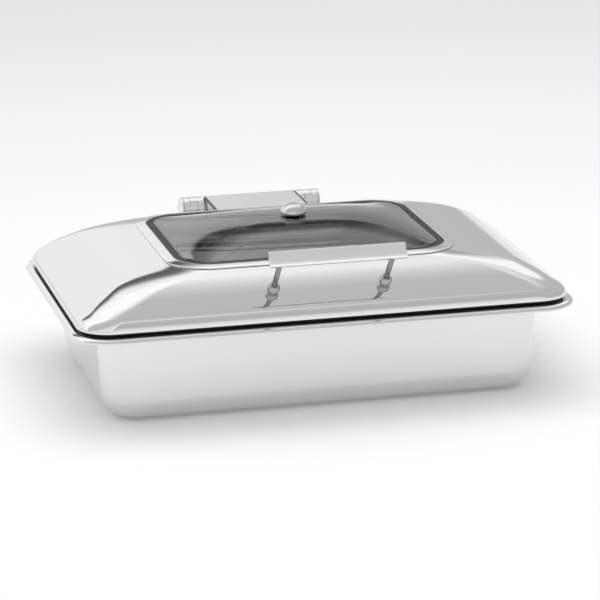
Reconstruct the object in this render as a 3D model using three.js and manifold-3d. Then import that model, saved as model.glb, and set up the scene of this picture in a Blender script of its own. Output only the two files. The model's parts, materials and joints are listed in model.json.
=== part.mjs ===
// A chafing dish: a deep water pan for an induction hob, a food pan hung in its rim, and a domed
// lid with a window, a front handle and a rear hinge. Every separate piece is a closed solid.
// Millimetres, +Z up, front towards -Y. The origin is the centre of the underside.
import * as THREE from 'three';
import { mergeVertices } from 'three/addons/utils/BufferGeometryUtils.js';
import Module from 'manifold-3d';

const wasm = await Module();
wasm.setup();

// ---------- driving dimensions ----------

const GAP = 0.3;              // clearance between pieces that touch
const SHEET = 1.2;            // wall of the pans and the lid
const CORNER_STEPS = 6;       // facets in each plan corner
const SHARPEST = 8;           // smallest plan corner radius low in a pan
const ROUND = 24;             // facets round a barrel

const RIM = { halfX: 295, halfY: 195, radius: 48, top: 113, lip: 107.2 };
const WALL = { halfX: 260.5, halfY: 160, radius: 42, taper: 4.6, fillet: 28 };
const LEDGE = { top: 109.2, width: 7.8 };            // shelf in the rim that carries the food pan
const FOOT = { height: 0.4, width: 6, recess: 3 };   // ring round the base plate
const PLATE = { thickness: 2.7, margin: 0.6 };

const FOOD = {
  flangeX: 265, flangeY: 162.5, bodyX: 253.5, bodyY: 151, depth: 65, radius: 40, taper: 7, fillet: 18,
};

const LID_EDGE = 117;         // height of the lid's lower edge
// guide points of the lid's section, edge to shoulder: height, half length, half width, plan corner radius
const LID_GUIDE = [
  [LID_EDGE, 287, 183.5, 38],
  [121, 287, 183.3, 38],
  [127, 283.4, 182.4, 38],
  [131.5, 274.1, 181.2, 36],
  [135, 269.3, 178.2, 36],
  [141, 261.3, 172.2, 36],
  [148, 247.2, 164.2, 38],
  [156, 233.2, 153.4, 40],
  [163, 204.9, 142.8, 44.5],
  [166.8, 181.1, 135.2, 49],
  [168.7, 171.5, 130.5, 52.5],
];
const LID_SECTION = splineSections(LID_GUIDE, 2, 1);
const LID_HEM = 11;           // width of the flange turned in under the lid
const SEAL = { inset: 3, width: 6 };

const WINDOW = { halfX: 160, halfY: 119, radius: 42, seat: 165.2, rest: 169.1, top: 171.9, opening: 11.5 };
const GLASS = { halfX: 151.9, halfY: 110.9, radius: 34.7, thickness: 4, edge: 171.5, apex: 192.2 };
const CAP = { radius: 15.2, base: 193.6, top: 206, bore: 3, stud: 2.7 };

const HANDLE = {
  length: 158, postX: 65.2, postRadius: 3.1, ballRadius: 7.5,
  ball: [-169.5, 152.8], back: [-205.7, 193.1],          // y and z of the ball and of the post's far end
  topEdge: [-204.5, 205.6], lowEdge: [-218, 190.8],      // y and z of the grip face's two edges
  depth: 7.5, hollow: 1.8, socket: 4,
  seat: 6.6, washer: 10.3, nut: 14.7, tail: 15.9,        // distances from the ball's centre into the lid
};

const HINGE = {
  y: 228.4, z: 147, radius: 15.5, end: 87.7, pin: 5, bush: 6.7,
  arm: 57.9, collar: 60, lowSeam: 67.7, highSeam: 77, cap: 2.7,
};
const OPENING = 95;           // degrees the lid swings
// the stop's teeth: angles about the hinge line, from +Y towards +Z, with the lid shut
const TOOTH = { lidFrom: 30, lidTo: 128, baseFrom: 130, baseTo: 30 + 360 - OPENING - 1 };
const ARM = { top: 162.5, low: 134, wall: 2.6, foot: 5, footLow: 136, screwX: 36, screwZ: [141, 154] };
const BRACKET = {
  halfX: 92, y: 160.5, sheet: 3, low: 66, shelf: 103, back: 243, screwZ: 86, screwX: [-76, -30, 30, 76],
};
const LEG = { front: 216, back: 241 };
const SCREW = 2.5;            // shank radius of every M5 screw

// ---------- materials ----------

const mirror = new THREE.MeshStandardMaterial({ color: 0xd4d6d8, roughness: 0.08, metalness: 1 });
const satin = new THREE.MeshStandardMaterial({ color: 0xc9cbcc, roughness: 0.35, metalness: 1 });
const hardware = new THREE.MeshStandardMaterial({ color: 0xb9bbbd, roughness: 0.3, metalness: 1 });
const magnetic = new THREE.MeshStandardMaterial({ color: 0x8f9193, roughness: 0.45, metalness: 1 });
const silicone = new THREE.MeshStandardMaterial({ color: 0x151515, roughness: 0.7, metalness: 0 });
const glassy = new THREE.MeshStandardMaterial({ color: 0xaab0b0, roughness: 0.05, metalness: 0 });
const bronze = new THREE.MeshStandardMaterial({ color: 0xa8814a, roughness: 0.4, metalness: 1 });
const nylon = new THREE.MeshStandardMaterial({ color: 0xe6e4dc, roughness: 0.6, metalness: 0 });

// ---------- solids and booleans ----------

function solid(geometry) {
  const bare = geometry.clone();
  bare.deleteAttribute('normal');
  bare.deleteAttribute('uv');
  const merged = mergeVertices(bare, 1e-4);
  const vertProperties = new Float32Array(merged.attributes.position.array);
  const triVerts = new Uint32Array(merged.index.array);
  return new wasm.Manifold(new wasm.Mesh({ numProp: 3, vertProperties, triVerts }));
}

function geometryOf(manifold) {
  const mesh = manifold.getMesh();
  const geometry = new THREE.BufferGeometry();
  geometry.setAttribute('position', new THREE.BufferAttribute(new Float32Array(mesh.vertProperties), 3));
  geometry.setIndex(new THREE.BufferAttribute(new Uint32Array(mesh.triVerts), 1));
  geometry.computeVertexNormals();
  return geometry;
}

function join(...geometries) {
  return geometryOf(geometries.map(solid).reduce((whole, next) => whole.add(next)));
}

function cut(base, ...tools) {
  return geometryOf(tools.map(solid).reduce((rest, tool) => rest.subtract(tool), solid(base)));
}

// ---------- shapes ----------

// A rounded rectangle at one height, anticlockwise from above, with extra points along its straight sides.
function loop([z, halfX, halfY, radius], extra = 0) {
  const points = [];
  [[1, 1], [-1, 1], [-1, -1], [1, -1]].forEach(([sideX, sideY], corner) => {
    for (let step = 0; step <= CORNER_STEPS; step++) {
      const angle = (corner + step / CORNER_STEPS) * Math.PI / 2;
      points.push([
        sideX * (halfX - radius) + radius * Math.cos(angle),
        sideY * (halfY - radius) + radius * Math.sin(angle),
        z,
      ]);
    }
  });
  return points.flatMap((point, i) => {
    const sides = (i + 1) % (CORNER_STEPS + 1) === 0 ? extra : 0;
    const next = points[(i + 1) % points.length];
    const more = Array.from({ length: sides }, (_, step) => {
      const share = (step + 1) / (sides + 1);
      return point.map((value, axis) => THREE.MathUtils.lerp(value, next[axis], share));
    });
    return [point, ...more];
  });
}

// A skin stretched over rounded rectangles: a ring closes on its first one, otherwise both ends are capped.
function loft(sections, ring = false, extra = 0) {
  const loops = sections.map((section) => loop(section, extra));
  const count = loops[0].length;
  const positions = loops.flat(2);
  const index = [];
  const spans = ring ? loops.length : loops.length - 1;
  for (let row = 0; row < spans; row++) {
    const low = row * count;
    const high = ((row + 1) % loops.length) * count;
    for (let i = 0; i < count; i++) {
      const j = (i + 1) % count;
      index.push(low + i, low + j, high + j, low + i, high + j, high + i);
    }
  }
  if (!ring) {
    const last = (loops.length - 1) * count;
    for (let i = 1; i < count - 1; i++) {
      index.push(0, i + 1, i, last, last + i, last + i + 1);
    }
  }
  const geometry = new THREE.BufferGeometry();
  geometry.setAttribute('position', new THREE.Float32BufferAttribute(positions, 3));
  geometry.setIndex(index);
  geometry.computeVertexNormals();
  return geometry;
}

function box(x0, x1, y0, y1, z0, z1) {
  return new THREE.BoxGeometry(x1 - x0, y1 - y0, z1 - z0)
    .translate((x0 + x1) / 2, (y0 + y1) / 2, (z0 + z1) / 2);
}

// A round bar between two points.
function rod(radius, from, to, facets = 16) {
  const start = new THREE.Vector3(...from);
  const run = new THREE.Vector3(...to).sub(start);
  const turn = new THREE.Quaternion().setFromUnitVectors(new THREE.Vector3(0, 1, 0), run.clone().normalize());
  return new THREE.CylinderGeometry(radius, radius, run.length(), facets)
    .applyQuaternion(turn)
    .translate(...start.addScaledVector(run, 0.5).toArray());
}

// A closed outline of y and z points, drawn out along X.
function slab(outline, x0, x1) {
  const shape = new THREE.Shape(outline.map(([y, z]) => new THREE.Vector2(y, z)));
  return sideways(shape, x0, x1);
}

function sideways(shape, x0, x1) {
  const axes = new THREE.Matrix4().makeBasis(
    new THREE.Vector3(0, 1, 0), new THREE.Vector3(0, 0, 1), new THREE.Vector3(1, 0, 0));
  return new THREE.ExtrudeGeometry(shape, { depth: x1 - x0, bevelEnabled: false, curveSegments: 10 })
    .applyMatrix4(axes)
    .translate(x0, 0, 0);
}

// A turned piece standing on Z; its profile lists radius and height, clockwise round the section.
function turned(profile, facets = 16) {
  const points = profile.map(([radius, height]) => new THREE.Vector2(radius, height));
  return new THREE.LatheGeometry(points, facets).rotateX(Math.PI / 2);
}

function washer(inner, outer, low, high) {
  return turned([[inner, low], [outer, low], [outer, high], [inner, high], [inner, low]]);
}

// Turns a shape that stands on Z so that it stands on a given direction at a given point.
function standOn(geometry, point, direction) {
  const turn = new THREE.Quaternion().setFromUnitVectors(
    new THREE.Vector3(0, 0, 1), new THREE.Vector3(...direction).normalize());
  return geometry.applyQuaternion(turn).translate(...point);
}

function hexNut(size, height, bore) {
  const body = new THREE.CylinderGeometry(size, size, height, 6)
    .rotateX(Math.PI / 2)
    .translate(0, 0, height / 2);
  return cut(body, rod(bore, [0, 0, -1], [0, 0, height + 1], 12));
}

// A round-headed screw on Z: the head's flat side is at zero and the shank runs down.
function screw(length, headRadius = 4.6, headHeight = 2.4) {
  return turned([
    [0, -length], [SCREW, -length], [SCREW, 0], [headRadius, 0], [headRadius, headHeight * 0.45],
    [headRadius * 0.62, headHeight], [0, headHeight],
  ], 12);
}

const group = new THREE.Group();

function add(name, geometry, material) {
  const mesh = new THREE.Mesh(geometry, material);
  mesh.name = name;
  group.add(mesh);
}

// left is -X and right is +X
const SIDES = { left: -1, right: 1 };

// ---------- pans ----------

// Points of a rounded bottom edge, from the floor up to the wall.
function bottomFillet(radius, floor, halfX, halfY, corner) {
  return [0, 22.5, 45, 67.5, 90].map((degrees) => {
    const angle = THREE.MathUtils.degToRad(degrees);
    const inset = radius * (1 - Math.sin(angle));
    const z = floor + radius * (1 - Math.cos(angle));
    return [z, halfX - inset, halfY - inset, Math.max(corner - inset, SHARPEST)];
  });
}

// One skin of the water pan from the recess in its floor to the top of the wall, moved in by a sheet.
function panSkin(inward) {
  const lowX = WALL.halfX - WALL.taper - inward;
  const lowY = WALL.halfY - WALL.taper - inward;
  const fillet = bottomFillet(WALL.fillet - inward, FOOT.height + inward, lowX, lowY, WALL.radius - inward);
  const flatX = lowX - WALL.fillet + inward;
  const flatY = lowY - WALL.fillet + inward;
  const recess = FOOT.width + inward;
  return [
    [FOOT.recess + inward, flatX - recess - 1, flatY - recess - 1, 8],
    [FOOT.height + inward, flatX - recess, flatY - recess, 9],
    ...fillet,
    [RIM.lip - 3, WALL.halfX - inward, WALL.halfY - inward, WALL.radius],
  ];
}

// A rim section given by its distance out from the wall's outer face.
function rimSection(z, out, radius) {
  return [z, WALL.halfX + out, WALL.halfY + out, radius];
}

function waterPan() {
  const reach = RIM.halfX - WALL.halfX;
  const underside = [
    rimSection(LEDGE.top - SHEET, 2.4, 43),
    rimSection(LEDGE.top - SHEET, LEDGE.width + 1.2, 44),
    rimSection(RIM.top - SHEET, LEDGE.width + 2, 44),
    rimSection(RIM.top - SHEET, reach - 6.5, 46),
    rimSection(RIM.top - 3.6, reach - 1.9, 47),
    rimSection(RIM.lip, reach - SHEET, 47),
  ];
  const topside = [
    rimSection(RIM.lip, reach, RIM.radius),
    rimSection(RIM.top - 3, reach - 0.2, RIM.radius),
    rimSection(RIM.top - 1, reach - 1.9, 47),
    rimSection(RIM.top, reach - 5, 46),
    rimSection(RIM.top, LEDGE.width + 0.8, 44),
    rimSection(LEDGE.top, LEDGE.width, 44),
    rimSection(LEDGE.top, 1.2, 43),
  ];
  const pan = loft([...panSkin(0), ...underside, ...topside, ...panSkin(SHEET).reverse()]);
  return cut(pan, ...bracketHoles());
}

// Tools for the holes that the bracket's screws pass through, in the pan and in the bracket.
function bracketHoles() {
  const z = BRACKET.screwZ;
  return BRACKET.screwX.map((x) => rod(SCREW + GAP, [x, WALL.halfY - 10, z], [x, WALL.halfY + 10, z]));
}

function basePlate() {
  const halfX = WALL.halfX - WALL.taper - WALL.fillet - FOOT.width - PLATE.margin;
  const halfY = WALL.halfY - WALL.taper - WALL.fillet - FOOT.width - PLATE.margin;
  return loft([
    [0, halfX - 1.2, halfY - 1.2, 7],
    [0.8, halfX - 0.4, halfY - 0.4, 8],
    [PLATE.thickness, halfX - 1.4, halfY - 1.4, 8],
  ]);
}

function foodSkin(inward) {
  const rest = LEDGE.top + GAP;
  const halfX = FOOD.bodyX - inward;
  const halfY = FOOD.bodyY - inward;
  const radius = FOOD.radius - inward;
  const floor = rest - FOOD.depth + inward;
  const low = bottomFillet(FOOD.fillet - inward, floor, halfX - FOOD.taper, halfY - FOOD.taper, radius);
  return [...low, [rest - 2, halfX, halfY, radius]];
}

function foodPan() {
  const rest = LEDGE.top + GAP;
  const flange = [
    [rest, FOOD.bodyX + 1.6, FOOD.bodyY + 1.6, FOOD.radius],
    [rest, FOOD.flangeX, FOOD.flangeY, FOOD.radius + 2],
    [rest + SHEET, FOOD.flangeX, FOOD.flangeY, FOOD.radius + 2],
    [rest + SHEET, FOOD.bodyX + 0.8, FOOD.bodyY + 0.8, FOOD.radius],
  ];
  return loft([...foodSkin(0), ...flange, ...foodSkin(SHEET).reverse()]);
}

// ---------- lid ----------

// A clamped cubic B-spline guided by the points: sections at least a short way apart, ends included.
function splineSections(points, steps, apart) {
  const first = points[0];
  const last = points[points.length - 1];
  const guide = [first, first, ...points, last, last];
  const made = [];
  for (let i = 0; i + 3 < guide.length; i += 1) {
    const span = guide.slice(i, i + 4);
    for (let step = 0; step < steps; step += 1) {
      const t = step / steps;
      const weights = [(1 - t) ** 3, 3 * t ** 3 - 6 * t ** 2 + 4, 3 * (t + t ** 2 - t ** 3) + 1, t ** 3];
      const blend = (_, axis) => span.reduce((sum, point, k) => sum + weights[k] * point[axis], 0) / 6;
      made.push(first.map(blend));
    }
  }
  const kept = [first];
  for (const section of made) {
    const before = kept[kept.length - 1];
    const fromLast = Math.hypot(last[0] - section[0], last[2] - section[2]);
    if (fromLast > apart && Math.hypot(section[0] - before[0], section[2] - before[2]) > apart) {
      kept.push(section);
    }
  }
  return [...kept, last];
}

// The lid's inner skin: each section moved in and down by the sheet, according to the slope there.
function lidInside() {
  return LID_SECTION.slice(1).map(([z, halfX, halfY, radius], i) => {
    const [lowZ, lowX, lowY] = LID_SECTION[i];
    const slopeX = Math.atan2(z - lowZ, lowX - halfX);
    const slopeY = Math.atan2(z - lowZ, lowY - halfY);
    const drop = SHEET * Math.cos((slopeX + slopeY) / 2);
    const insetX = SHEET * Math.sin(slopeX);
    const insetY = SHEET * Math.sin(slopeY);
    return [z - drop, halfX - insetX, halfY - insetY, radius - SHEET];
  });
}

function lidShell() {
  const seatX = WINDOW.halfX + 9.5;
  const seatY = WINDOW.halfY + 9.5;
  const openX = WINDOW.halfX - WINDOW.opening;
  const openY = WINDOW.halfY - WINDOW.opening;
  const [, edgeX, edgeY, edgeRadius] = LID_SECTION[0];
  const inside = lidInside().filter(([z]) => z > LID_EDGE + 2 && z < WINDOW.seat);
  const shell = loft([
    ...LID_SECTION,
    [WINDOW.seat, seatX, seatY, WINDOW.radius + 8.5],
    [WINDOW.seat, openX, openY, WINDOW.radius - WINDOW.opening],
    [WINDOW.seat - SHEET, openX, openY, WINDOW.radius - WINDOW.opening],
    [WINDOW.seat - SHEET, seatX + 1, seatY + 1, WINDOW.radius + 8.5],
    [WINDOW.seat + 1, seatX + 5, seatY + 2.2, WINDOW.radius + 9],
    ...inside.reverse(),
    [LID_EDGE + SHEET, edgeX - 1.4, edgeY - 1.4, edgeRadius - 1.4],
    [LID_EDGE + SHEET, edgeX - LID_HEM, edgeY - LID_HEM, edgeRadius - LID_HEM],
    [LID_EDGE, edgeX - LID_HEM, edgeY - LID_HEM, edgeRadius - LID_HEM],
  ], true);
  const postHoles = Object.values(SIDES).map((side) => postRod(side, HANDLE.postRadius + GAP, -20, 0));
  return cut(shell, ...postHoles, ...armScrewHoles());
}

function lidSeal() {
  const [, edgeX, edgeY, edgeRadius] = LID_SECTION[0];
  const outer = SEAL.inset;
  const inner = SEAL.inset + SEAL.width;
  const section = (z, inset) => [z, edgeX - inset, edgeY - inset, edgeRadius - inset];
  return loft([
    section(RIM.top + GAP, outer + 1), section(RIM.top + 1.6, outer), section(LID_EDGE - GAP, outer),
    section(LID_EDGE - GAP, inner), section(RIM.top + 1.6, inner), section(RIM.top + GAP, inner - 1),
  ], true);
}

// A section of the window's edge given by its distance out from the bezel's inner edge.
function windowSection(z, out) {
  return [z, WINDOW.halfX + out, WINDOW.halfY + out, WINDOW.radius + out * 0.9];
}

function windowFrame() {
  const rest = WINDOW.seat + GAP;
  return loft([
    windowSection(WINDOW.rest, 12),
    windowSection(WINDOW.rest + 0.9, 11.5),
    windowSection(WINDOW.top, 1.5),
    windowSection(WINDOW.top, 0),
    windowSection(rest, 0),
    windowSection(rest, 8.7),
    windowSection(WINDOW.rest, 10.7),
  ], true);
}

function windowSeal() {
  const rest = WINDOW.seat + GAP;
  const step = GLASS.edge - GLASS.thickness - GAP;
  return loft([
    windowSection(rest, -GAP), windowSection(WINDOW.top - 0.2, -GAP), windowSection(WINDOW.top - 0.2, -7.8),
    windowSection(step, -7.8), windowSection(step, -11), windowSection(rest, -11),
  ], true);
}

// A section of the flat pane, from the stud's hole (0) to its edge (1).
function glassSection(part, below) {
  const hole = CAP.stud + 1.6;
  const mix = (edge) => THREE.MathUtils.lerp(hole, edge, part);
  return [GLASS.edge - below, mix(GLASS.halfX), mix(GLASS.halfY), mix(GLASS.radius)];
}

// The pane: a flat one, raised into a bubble that is highest at its centre.
function windowGlass() {
  const parts = [0, 0.1, 0.2, 0.3, 0.4, 0.5, 0.6, 0.7, 0.8, 0.9, 1];
  const lower = parts.map((part) => glassSection(part, GLASS.thickness));
  const upper = parts.map((part) => glassSection(part, 0)).reverse();
  const pane = loft([...lower, ...upper], true, 6);
  const places = pane.attributes.position;
  for (let i = 0; i < places.count; i++) {
    const across = Math.abs(places.getX(i)) / GLASS.halfX;
    const along = Math.abs(places.getY(i)) / GLASS.halfY;
    const raised = (GLASS.apex - GLASS.edge) * (1 - across ** 3) * (1 - along ** 2);
    places.setZ(i, places.getZ(i) + raised);
  }
  return pane;
}

// ---------- centre fitting of the glass ----------

function capNut() {
  const height = CAP.top - CAP.base;
  const dome = [0, 15, 30, 45, 60, 75, 90].map((degrees) => {
    const angle = THREE.MathUtils.degToRad(degrees);
    return [CAP.radius * Math.cos(angle), CAP.base + 2.4 + (height - 2.4) * Math.sin(angle)];
  });
  dome[dome.length - 1][0] = 0;
  return turned([
    [0, CAP.base + 8], [CAP.bore, CAP.base + 8], [CAP.bore, CAP.base], [CAP.radius - 0.8, CAP.base],
    [CAP.radius, CAP.base + 0.8], ...dome,
  ], ROUND);
}

function addCentreFitting() {
  const under = GLASS.apex - GLASS.thickness - GAP;
  const clear = CAP.stud + GAP;
  add('glass_cap_nut', capNut(), mirror);
  add('cap_nut_gasket', washer(clear + 1, 9, GLASS.apex + GAP, CAP.base - GAP), silicone);
  add('glass_stud', rod(CAP.stud, [0, 0, under - 9], [0, 0, CAP.base + 7.5], 16), hardware);
  add('stud_inner_washer', washer(clear, 9, under - 2, under - 0.6), silicone);
  add('stud_inner_nut', hexNut(6.2, 4.2, clear).translate(0, 0, under - 6.6), hardware);
}

// ---------- handle ----------

function postLine() {
  const from = new THREE.Vector2(...HANDLE.ball);
  const run = new THREE.Vector2(...HANDLE.back).sub(from);
  return { from, direction: run.clone().normalize(), length: run.length() };
}

// A bar on the post's line, between two distances from the centre of the ball.
function postRod(side, radius, near, far, facets = 16) {
  const { from, direction } = postLine();
  const at = (distance) => {
    const place = from.clone().addScaledVector(direction, distance);
    return [side * HANDLE.postX, place.x, place.y];
  };
  return rod(radius, at(near), at(far), facets);
}

function handleBar() {
  const top = new THREE.Vector2(...HANDLE.topEdge);
  const low = new THREE.Vector2(...HANDLE.lowEdge);
  const across = top.clone().sub(low).normalize();
  const outward = new THREE.Vector2(-across.y, across.x);
  const width = top.distanceTo(low);
  // shares of the width, with the distance out from the face
  const section = [
    [0, 0], [0.12, 1 - HANDLE.depth], [0.25, -HANDLE.depth], [0.75, -HANDLE.depth], [0.88, 1 - HANDLE.depth],
    [1, 0], [0.84, -HANDLE.hollow * 0.54], [0.67, -HANDLE.hollow * 0.88], [0.5, -HANDLE.hollow],
    [0.33, -HANDLE.hollow * 0.88], [0.16, -HANDLE.hollow * 0.54],
  ];
  const outline = section.map(([share, out]) => low.clone()
    .addScaledVector(across, share * width)
    .addScaledVector(outward, out)
    .toArray());
  const bar = slab(outline, -HANDLE.length / 2, HANDLE.length / 2);
  const { length } = postLine();
  const sockets = Object.values(SIDES).map(
    (side) => postRod(side, HANDLE.postRadius + GAP, length - 6, length + HANDLE.socket + GAP));
  return cut(bar, ...sockets);
}

function addHandle() {
  const { direction, length } = postLine();
  const tilt = [0, direction.x, direction.y];
  add('handle_bar', handleBar(), satin);
  for (const [name, side] of Object.entries(SIDES)) {
    const inside = (distance) => [
      side * HANDLE.postX, HANDLE.ball[0] + direction.x * distance, HANDLE.ball[1] + direction.y * distance];
    const bore = HANDLE.postRadius + GAP;
    const post = postRod(side, HANDLE.postRadius, -HANDLE.tail, length + HANDLE.socket);
    add(`handle_post_${name}`, post, mirror);
    const ball = new THREE.SphereGeometry(HANDLE.ballRadius, 16, 10)
      .translate(side * HANDLE.postX, ...HANDLE.ball);
    const flat = postRod(side, 9, -12, -HANDLE.seat);
    add(`handle_ball_${name}`, cut(ball, postRod(side, bore, -10, 10), flat), mirror);
    add(`handle_washer_${name}`, standOn(washer(bore, 6, 0, 1), inside(-HANDLE.washer), tilt), hardware);
    add(`handle_nut_${name}`, standOn(hexNut(5.6, 4, bore), inside(-HANDLE.nut), tilt), hardware);
  }
}

// ---------- lid side of the hinge ----------

// y of the lid's rear face at a height, a little outside the sheet.
function lidBack(z, out = 0) {
  const above = LID_SECTION.findIndex((section) => section[0] >= z);
  const [lowZ, , lowY] = LID_SECTION[above - 1];
  const [highZ, , highY] = LID_SECTION[above];
  const rise = (z - lowZ) / (highZ - lowZ);
  const lean = Math.hypot(1, (lowY - highY) / (highZ - lowZ));
  return THREE.MathUtils.lerp(lowY, highY, rise) + out * lean;
}

function armScrewPlaces() {
  const places = [];
  for (const z of ARM.screwZ) {
    const normal = [0, 1, (lidBack(z - 1) - lidBack(z + 1)) / 2];
    for (const side of [-1, 1]) {
      places.push({ point: [side * ARM.screwX, lidBack(z), z], normal });
    }
  }
  return places;
}

// Tools for the holes that the arm's screws pass through, in the lid and in the arm's foot.
function armScrewHoles() {
  return armScrewPlaces().map(({ point, normal }) => {
    const hole = new THREE.CylinderGeometry(SCREW + GAP, SCREW + GAP, 16, 12).rotateX(Math.PI / 2);
    return standOn(hole, point, normal);
  });
}

function hingeArm() {
  const heights = [0, 1, 2, 3, 4, 5, 6].map((step) => THREE.MathUtils.lerp(ARM.footLow, ARM.top, step / 6));
  const face = heights.map((z) => [lidBack(z, 0.5), z]);
  const footBack = heights.map((z) => [lidBack(z, 0.5 + ARM.foot), z]).reverse();
  const sideOutline = [...face, [HINGE.y, ARM.top], [HINGE.y, ARM.low]];
  const half = HINGE.arm;
  const parts = [
    rod(HINGE.radius, [-half, HINGE.y, HINGE.z], [half, HINGE.y, HINGE.z], ROUND),
    slab([...face, ...footBack], -half, half),
    box(-half, half, lidBack(ARM.top - ARM.wall, 0.5), HINGE.y, ARM.top - ARM.wall, ARM.top),
    slab(sideOutline, -half, -half + ARM.wall),
    slab(sideOutline, half - ARM.wall, half),
  ];
  return cut(join(...parts),
    rod(HINGE.pin + GAP, [-100, HINGE.y, HINGE.z], [100, HINGE.y, HINGE.z], ROUND),
    rod(2.3, [0, HINGE.y, HINGE.z - 20], [0, HINGE.y, HINGE.z + 11], 12),
    ...armScrewHoles());
}

// A part ring about the hinge line, between two angles in degrees.
function ringSector(inner, outer, fromDegrees, toDegrees, x0, x1) {
  const from = THREE.MathUtils.degToRad(fromDegrees);
  const to = THREE.MathUtils.degToRad(toDegrees);
  const shape = new THREE.Shape();
  shape.absarc(HINGE.y, HINGE.z, outer, from, to, false);
  shape.absarc(HINGE.y, HINGE.z, inner, to, from, true);
  return sideways(shape, Math.min(x0, x1), Math.max(x0, x1));
}

function hingeRod(radius, x0, x1, facets = ROUND) {
  return rod(radius, [x0, HINGE.y, HINGE.z], [x1, HINGE.y, HINGE.z], facets);
}

function hingeCollar(side) {
  const ring = hingeRod(HINGE.radius, side * HINGE.collar, side * HINGE.lowSeam);
  const tooth = ringSector(HINGE.pin + 1, HINGE.radius, TOOTH.lidFrom, TOOTH.lidTo,
    side * (HINGE.lowSeam - 1), side * HINGE.highSeam);
  const x = side * (HINGE.collar + HINGE.lowSeam) / 2;
  return cut(join(ring, tooth),
    hingeRod(HINGE.pin + GAP, side * 50, side * 84),
    rod(2.3, [x, HINGE.y, HINGE.z - 20], [x, HINGE.y, HINGE.z], 12));
}

function addLidHinge() {
  add('hinge_arm', hingeArm(), satin);
  const pinEnd = HINGE.end - HINGE.cap - 0.7;
  const pinHole = rod(2.3, [0, HINGE.y, HINGE.z - 20], [0, HINGE.y, HINGE.z + 20], 12);
  add('hinge_pin', cut(hingeRod(HINGE.pin, -pinEnd, pinEnd), pinHole), hardware);
  add('arm_drive_pin', rod(2, [0, HINGE.y, HINGE.z - 15], [0, HINGE.y, HINGE.z + 10.5], 12), hardware);
  for (const [name, side] of Object.entries(SIDES)) {
    add(`hinge_collar_${name}`, hingeCollar(side), satin);
    const spacer = washer(HINGE.pin + GAP, 12, HINGE.arm + GAP, HINGE.collar - GAP);
    add(`hinge_spacer_${name}`, spacer.rotateY(side * Math.PI / 2).translate(0, HINGE.y, HINGE.z), nylon);
    const x = side * (HINGE.collar + HINGE.lowSeam) / 2;
    add(`collar_grub_screw_${name}`,
      rod(2, [x, HINGE.y, HINGE.z - 14.5], [x, HINGE.y, HINGE.z - HINGE.pin - GAP], 12), hardware);
  }
  armScrewPlaces().forEach(({ point, normal }, i) => {
    const inward = normal.map((value) => -value);
    const length = 7.4;
    const seated = screw(length).translate(0, 0, SHEET + 0.5);
    add(`arm_screw_${i + 1}`, standOn(seated, point, inward), hardware);
  });
}

// ---------- base side of the hinge ----------

function baseBracket() {
  const { halfX, y, sheet, low, shelf, back } = BRACKET;
  const upright = box(-halfX, halfX, y, y + sheet, low, shelf);
  const level = box(-halfX, halfX, y, back, shelf - sheet, shelf);
  const shelfHoles = knuckleScrewPlaces().map(
    ([, x, holeY]) => rod(SCREW + GAP, [x, holeY, shelf - 10], [x, holeY, shelf + 10]));
  return cut(join(upright, level), ...bracketHoles(), ...shelfHoles);
}

function knuckleScrewPlaces() {
  const places = [];
  for (const [name, side] of Object.entries(SIDES)) {
    places.push([`${name}_front`, side * 81, LEG.front + 6]);
    places.push([`${name}_rear`, side * 81, LEG.back - 6]);
  }
  return places;
}

function hingeKnuckle(side) {
  const near = HINGE.highSeam + GAP;
  const far = HINGE.end - HINGE.cap - GAP;
  const xs = [side * near, side * far].sort((a, b) => a - b);
  const leg = box(xs[0], xs[1], LEG.front, LEG.back, BRACKET.shelf + GAP, HINGE.z);
  const barrel = hingeRod(HINGE.radius, side * near, side * far);
  const tooth = ringSector(HINGE.pin + 1, HINGE.radius, TOOTH.baseFrom, TOOTH.baseTo,
    side * (HINGE.lowSeam + GAP), side * (near + 1));
  const holes = knuckleScrewPlaces()
    .filter(([, x]) => Math.sign(x) === side)
    .map(([, x, y]) => rod(SCREW + GAP, [x, y, 90], [x, y, BRACKET.shelf + 13]));
  return cut(join(leg, barrel, tooth), hingeRod(HINGE.bush + GAP, side * 60, side * 100), ...holes);
}

function endCap() {
  const edge = 0.8;
  return turned([
    [0, 0], [HINGE.radius, 0], [HINGE.radius, HINGE.cap - edge], [HINGE.radius - edge, HINGE.cap],
    [0, HINGE.cap],
  ], ROUND);
}

function addBaseHinge() {
  add('hinge_base_bracket', baseBracket(), satin);
  for (const [name, side] of Object.entries(SIDES)) {
    add(`hinge_knuckle_${name}`, hingeKnuckle(side), satin);
    const bush = washer(HINGE.pin + GAP, HINGE.bush, HINGE.highSeam + 0.5, HINGE.end - HINGE.cap - GAP);
    add(`hinge_bush_${name}`, bush.rotateY(side * Math.PI / 2).translate(0, HINGE.y, HINGE.z), bronze);
    const x = side * (HINGE.end - HINGE.cap);
    add(`hinge_end_cap_${name}`, endCap().rotateY(side * Math.PI / 2).translate(x, HINGE.y, HINGE.z), satin);
  }
  for (const [name, x, y] of knuckleScrewPlaces()) {
    const place = [x, y, BRACKET.shelf - BRACKET.sheet - GAP];
    add(`knuckle_screw_${name}`, standOn(screw(14), place, [0, 0, -1]), hardware);
  }
  BRACKET.screwX.forEach((x, i) => {
    const wallInside = WALL.halfY - SHEET - 1.4;
    const screwPlace = [x, wallInside, BRACKET.screwZ];
    const nutPlace = [x, BRACKET.y + BRACKET.sheet + GAP, BRACKET.screwZ];
    add(`bracket_screw_${i + 1}`, standOn(screw(12.5), screwPlace, [0, -1, 0]), hardware);
    add(`bracket_nut_${i + 1}`, standOn(hexNut(4.7, 3.6, SCREW + GAP), nutPlace, [0, 1, 0]), hardware);
  });
}

// ---------- the whole dish ----------

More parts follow.
